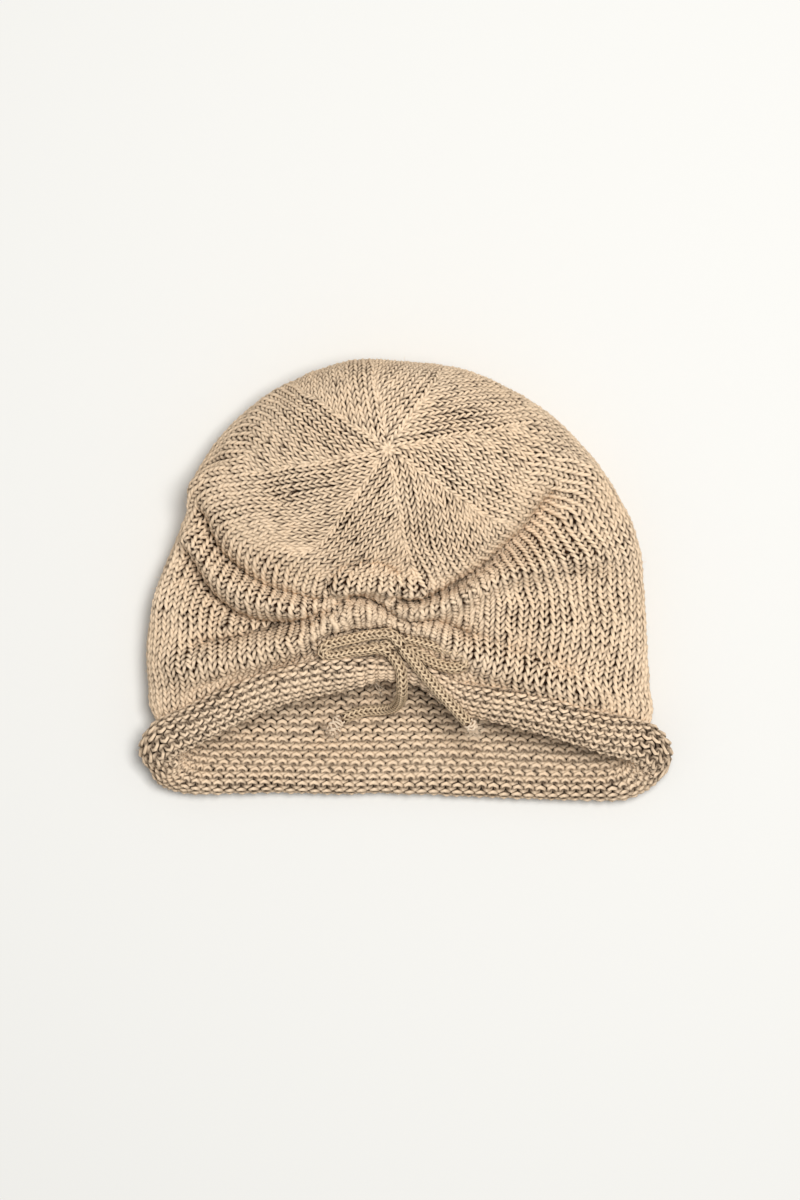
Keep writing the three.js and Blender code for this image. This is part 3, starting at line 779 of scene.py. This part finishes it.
def hairs(roots, ways, lengths):
    """Fine fibres from roots along ways, each bent by a random sideways push that grows with the square."""
    count = len(roots)
    t = np.linspace(0, 1, FIBRE_STEPS)[None, :, None]
    push = rng.normal(0, FIBRE_BEND, (count, 1, 3))
    lines = roots[:, None] + lengths[:, None, None] * (ways[:, None] * t + push * t * t)
    run = unit(np.gradient(lines, axis=1))
    side = unit(np.cross(run, FIBRE_SLANT))
    over = np.cross(run, side)
    turn = around(FIBRE_SIDES)
    ring = FIBRE * (np.cos(turn)[:, None] * side[:, :, None] + np.sin(turn)[:, None] * over[:, :, None])
    corners = (lines[:, :, None] + ring).reshape(-1, 3)
    numbers = (np.arange(count), np.arange(FIBRE_STEPS - 1), np.arange(FIBRE_SIDES))
    h, i, s = np.meshgrid(*numbers, indexing="ij")
    low = (h * FIBRE_STEPS + i) * FIBRE_SIDES
    high = low + FIBRE_SIDES
    n = (s + 1) % FIBRE_SIDES
    faces = np.stack([low + s, low + n, high + n, high + s], -1).reshape(-1, 4)
    return corners, faces, np.zeros((len(faces), 4, 2)), np.ones(len(corners))


def loose_fibres(fabric, count, reach):
    """Fibres that stand off the yarn all over the cap, on the side that is seen, and a tuft under the roll.

    Those in the crown thin out towards its centre.
    """
    u, v = rng.uniform(0, 1, count), rng.uniform(0, fabric.courses, count)
    spread_out = rng.uniform(0, CROWN_COURSES, count) < fabric.courses - v
    u, v = u[spread_out], v[spread_out]
    count = len(u)
    points, out, marks = fabric.at(u, v)
    side = np.where(marks[:, :1] > MOSTLY, -1, 1)
    roots = points + side * out * FIBRE_ROOT
    ways = unit(side * out + rng.normal(0, 1, (count, 3)))
    tuft = rng.normal(0, TUFT["spread"], (TUFT["count"], 3))
    standing = hairs(roots, ways, rng.uniform(FIBRE_SHORTEST, 1, count) * reach)
    lengths = rng.uniform(TUFT["shortest"], 1, TUFT["count"]) * TUFT["reach"]
    return joined([standing, hairs(TUFT["at"] + tuft, unit(TUFT["way"] + tuft), lengths)])


def linear(code):
    """Linear colour from an sRGB hex value, by the standard's curve."""
    srgb = np.array([int(code[i:i + 2], 16) / 255 for i in (1, 3, 5)])
    value = np.where(srgb <= 0.04045, srgb / 12.92, ((srgb + 0.055) / 1.055) ** 2.4)
    return (*value.tolist(), 1.0)


def node(tree, kind, links=None, values=None, **settings):
    """Adds a node with its settings, its input values and the links into it."""
    made = tree.nodes.new(kind)
    for name, value in settings.items():
        setattr(made, name, value)
    for key, value in (values or {}).items():
        made.inputs[key].default_value = value
    for key, source in (links or {}).items():
        tree.links.new(source, made.inputs[key])
    return made


# Yarn: its strands and the length of one turn of them, its surface, the patches of its dye and its fibres
PLIES, PLY_LENGTH, PLY_SHARE = 3, 4.2, 0.5
YARN_ROUGHNESS, YARN_SPECULAR = 0.85, 0.1
DYE_PATCHES = {"Scale": 45.0, "Detail": 3.0}
FIBRE_NOISE = {"Scale": 2600.0, "Detail": 2.0}
YARN_RELIEF = {"Strength": 0.5, "Distance": 0.00012}


def cotton_yarn(name, light, dark, painted_shade_colour):
    """Spun cotton yarn: matt and soft, with uneven dyeing and the relief of its twisted strands.

    Down between the stitches, where its shade attribute is low, it is painted in the dark colour of shade.
    """
    material = bpy.data.materials.new(name)
    material.use_nodes = True
    tree = material.node_tree
    shader = tree.nodes["Principled BSDF"]
    shader.inputs["Roughness"].default_value = YARN_ROUGHNESS
    shader.inputs["Specular IOR Level"].default_value = YARN_SPECULAR
    place = node(tree, "ShaderNodeTexCoord").outputs["Object"]
    patch = node(tree, "ShaderNodeTexNoise", {"Vector": place}, DYE_PATCHES)
    colour = node(tree, "ShaderNodeMix", {"Factor": patch.outputs["Fac"]}, data_type="RGBA")
    colour.inputs["A"].default_value = linear(dark)
    colour.inputs["B"].default_value = linear(light)
    # The shade attribute blends the yarn into the colour of painted shade.
    painted_shade_share = node(tree, "ShaderNodeAttribute", attribute_name="shade")
    shaded = node(tree, "ShaderNodeMix", {"Factor": painted_shade_share.outputs["Fac"]}, data_type="RGBA")
    shaded.inputs["A"].default_value = linear(painted_shade_colour)
    tree.links.new(colour.outputs["Result"], shaded.inputs["B"])
    tree.links.new(shaded.outputs["Result"], shader.inputs["Base Color"])
    round_yarn = node(tree, "ShaderNodeUVMap", uv_map="yarn").outputs["UV"]
    along = node(tree, "ShaderNodeSeparateXYZ", {"Vector": round_yarn})
    turns = node(tree, "ShaderNodeMath", {0: along.outputs["X"], 2: along.outputs["Y"]}, {1: 1 / PLY_LENGTH},
                 operation="MULTIPLY_ADD")
    phase = node(tree, "ShaderNodeMath", {0: turns.outputs["Value"]}, {1: 2 * np.pi * PLIES},
                 operation="MULTIPLY")
    plies = node(tree, "ShaderNodeMath", {0: phase.outputs["Value"]}, operation="SINE")
    fibres = node(tree, "ShaderNodeTexNoise", {"Vector": place}, FIBRE_NOISE)
    relief = node(tree, "ShaderNodeMath", {0: plies.outputs["Value"], 2: fibres.outputs["Fac"]},
                  {1: PLY_SHARE}, operation="MULTIPLY_ADD")
    bump = node(tree, "ShaderNodeBump", {"Height": relief.outputs["Value"]}, YARN_RELIEF)
    tree.links.new(bump.outputs["Normal"], shader.inputs["Normal"])
    return material


# Camera, in millimetres: its place, and the height of the frame so far off the floor
CAMERA_PLACE = (-2.6, -9.2, 2200)
FRAME_HEIGHT, FRAME_OFF_FLOOR = 569, 20
SENSOR_WIDTH = 36

# Stage, in metres and watts
FLOOR_HALF, FLOOR_COLOUR = 3, "#E1E0DC"
LIGHT_ALL_ROUND = 0.4
KEY_PLACE, KEY_SIZE, KEY_POWER = (0.3, 0.2, 1.87), 0.7, 33


def set_camera():
    """Camera straight above the cap, from far enough for little perspective, with the photograph's frame."""
    x, y, height = CAMERA_PLACE
    data = bpy.data.cameras.new("camera")
    data.sensor_width = SENSOR_WIDTH
    data.lens = data.sensor_width * (height - FRAME_OFF_FLOOR) / FRAME_HEIGHT
    camera = bpy.data.objects.new("camera", data)
    camera.location = (x * MM, y * MM, height * MM)
    bpy.context.scene.collection.objects.link(camera)
    bpy.context.scene.camera = camera


def set_stage():
    """A plain pale floor, soft light from all round, and a soft lamp high above to the upper right."""
    mesh = bpy.data.meshes.new("floor")
    corners = [(x * FLOOR_HALF, y * FLOOR_HALF, 0) for x, y in ((-1, -1), (1, -1), (1, 1), (-1, 1))]
    mesh.from_pydata(corners, [], [(0, 1, 2, 3)])
    floor = bpy.data.objects.new("floor", mesh)
    paint = bpy.data.materials.new("matt_pale_floor")
    paint.use_nodes = True
    shader = paint.node_tree.nodes["Principled BSDF"]
    shader.inputs["Base Color"].default_value = linear(FLOOR_COLOUR)
    shader.inputs["Specular IOR Level"].default_value = 0
    shader.inputs["Roughness"].default_value = 1
    mesh.materials.append(paint)
    bpy.context.scene.collection.objects.link(floor)
    world = bpy.data.worlds.new("studio")
    world.use_nodes = True
    background = world.node_tree.nodes["Background"]
    background.inputs["Color"].default_value = (1, 1, 1, 1)
    background.inputs["Strength"].default_value = LIGHT_ALL_ROUND
    bpy.context.scene.world = world
    lamp("key_lamp", KEY_PLACE, KEY_SIZE, KEY_POWER)
    bpy.context.scene.view_settings.view_transform = "Standard"


def lamp(name, place, size, power):
    """A square soft lamp that points at the cap."""
    data = bpy.data.lights.new(name, "AREA")
    data.size = size
    data.energy = power
    light = bpy.data.objects.new(name, data)
    light.location = place
    aim = -light.location.normalized()
    light.rotation_euler = aim.to_track_quat("-Z", "Y").to_euler()
    bpy.context.scene.collection.objects.link(light)


# The camera, the stage and the yarns come first, then the cord and its ends, then the cap
set_camera()
set_stage()
# The last colour of each yarn is painted shade, which it takes between the stitches, in the creases, on the
# cord's core and on the stubs of the ends.
body_yarn = cotton_yarn("cotton_yarn_body", "#F5DDBF", "#EACDAB", "#2C1504")
roll_yarn = cotton_yarn("cotton_yarn_roll", "#F5DCBE", "#EACDAB", "#2A1403")
cord_yarn = cotton_yarn("cotton_yarn_cord", "#E8D0AF", "#DBBF9A", "#3C2109")
end_yarn = cotton_yarn("cotton_yarn_frayed", "#EEDBC3", "#DFC8AC", "#6B4A2C")
# These dark colours are painted shade, for the sheet that stands in for the shade inside the fabric.
painted_shade_material = cotton_yarn("painted_shade_dark", "#221104", "#1B0D03", "#1B0D03")

# Ends of the cord, with the solid that each replaces and what cord_end takes
ENDS = [
    ("frayed_end_left", "tail_knot_left", (-33.6, -69.2, 7.2), (-0.55, -0.83, -0.05), 5.2, 2.8, 7, 170, 3.4),
    ("bound_end_right", "tail_knot_right", (30.6, -68.2, 35.9), (0.6, -0.72, -0.34), 2.6, 2.4, 4.5, 120,
     3.8),
]
for name, solid, at, *sizes in ENDS:
    piece(name, cord_end(np.array(at), *sizes), end_yarn)
    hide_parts(solid)
strands = joined([cord_shape(strand)[0] for strand in KNOT_STRANDS])
knot = piece("bow_knot_strands", strands, cord_yarn)
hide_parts("bow_knot")

CORDS = records("name route node far_end end", [
    ("cord_loop_left", LOOP_LEFT, "bow_loop_left", "object", None),
    ("cord_loop_right", LOOP_RIGHT, "bow_loop_right", "object", None),
    ("cord_tail_left", TAIL_LEFT, "bow_tail_left", "knot", "frayed_end_left"),
    ("cord_tail_right", TAIL_RIGHT, "bow_tail_right", "knot", "bound_end_right"),
])
for cord in CORDS:
    shape, line, length = cord_shape(cord["route"])
    made = piece(cord["name"], shape, cord_yarn)
    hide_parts(cord["node"])

fabric = cap_fabric()
BANDS = records("name first last", [
    ("knit_rolled_edge", 0, ROLL_COURSES),
    ("knit_body_lower", ROLL_COURSES, ROLL_COURSES + BAND_COURSES),
    ("knit_body_middle", ROLL_COURSES + BAND_COURSES, ROLL_COURSES + 2 * BAND_COURSES),
    ("knit_body_upper", ROLL_COURSES + 2 * BAND_COURSES, ROLL_COURSES + 3 * BAND_COURSES),
    ("knit_crown", ROLL_COURSES + 3 * BAND_COURSES, ROLL_COURSES + BODY_COURSES),
])
for band in BANDS:
    on_roll = band["name"] == "knit_rolled_edge"
    loop = ROLL_LOOP if on_roll else BODY_LOOP
    shape = knit(fabric, band["first"], band["last"], loop, crown_stitches, crown_turn)
    yarn = roll_yarn if on_roll else body_yarn
    made = piece(band["name"], shape, yarn)
    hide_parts("rolled_brim" if on_roll else "crown")
# A sheet painted dark as the shade that shows between the loops
shade_sheet_piece = piece("knit_painted_shade_sheet", painted_shade_sheet(fabric), painted_shade_material)
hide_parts("crown")
fuzz = piece("loose_fibres", loose_fibres(fabric, FIBRE_COUNT, FIBRE_REACH), end_yarn)
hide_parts("crown")
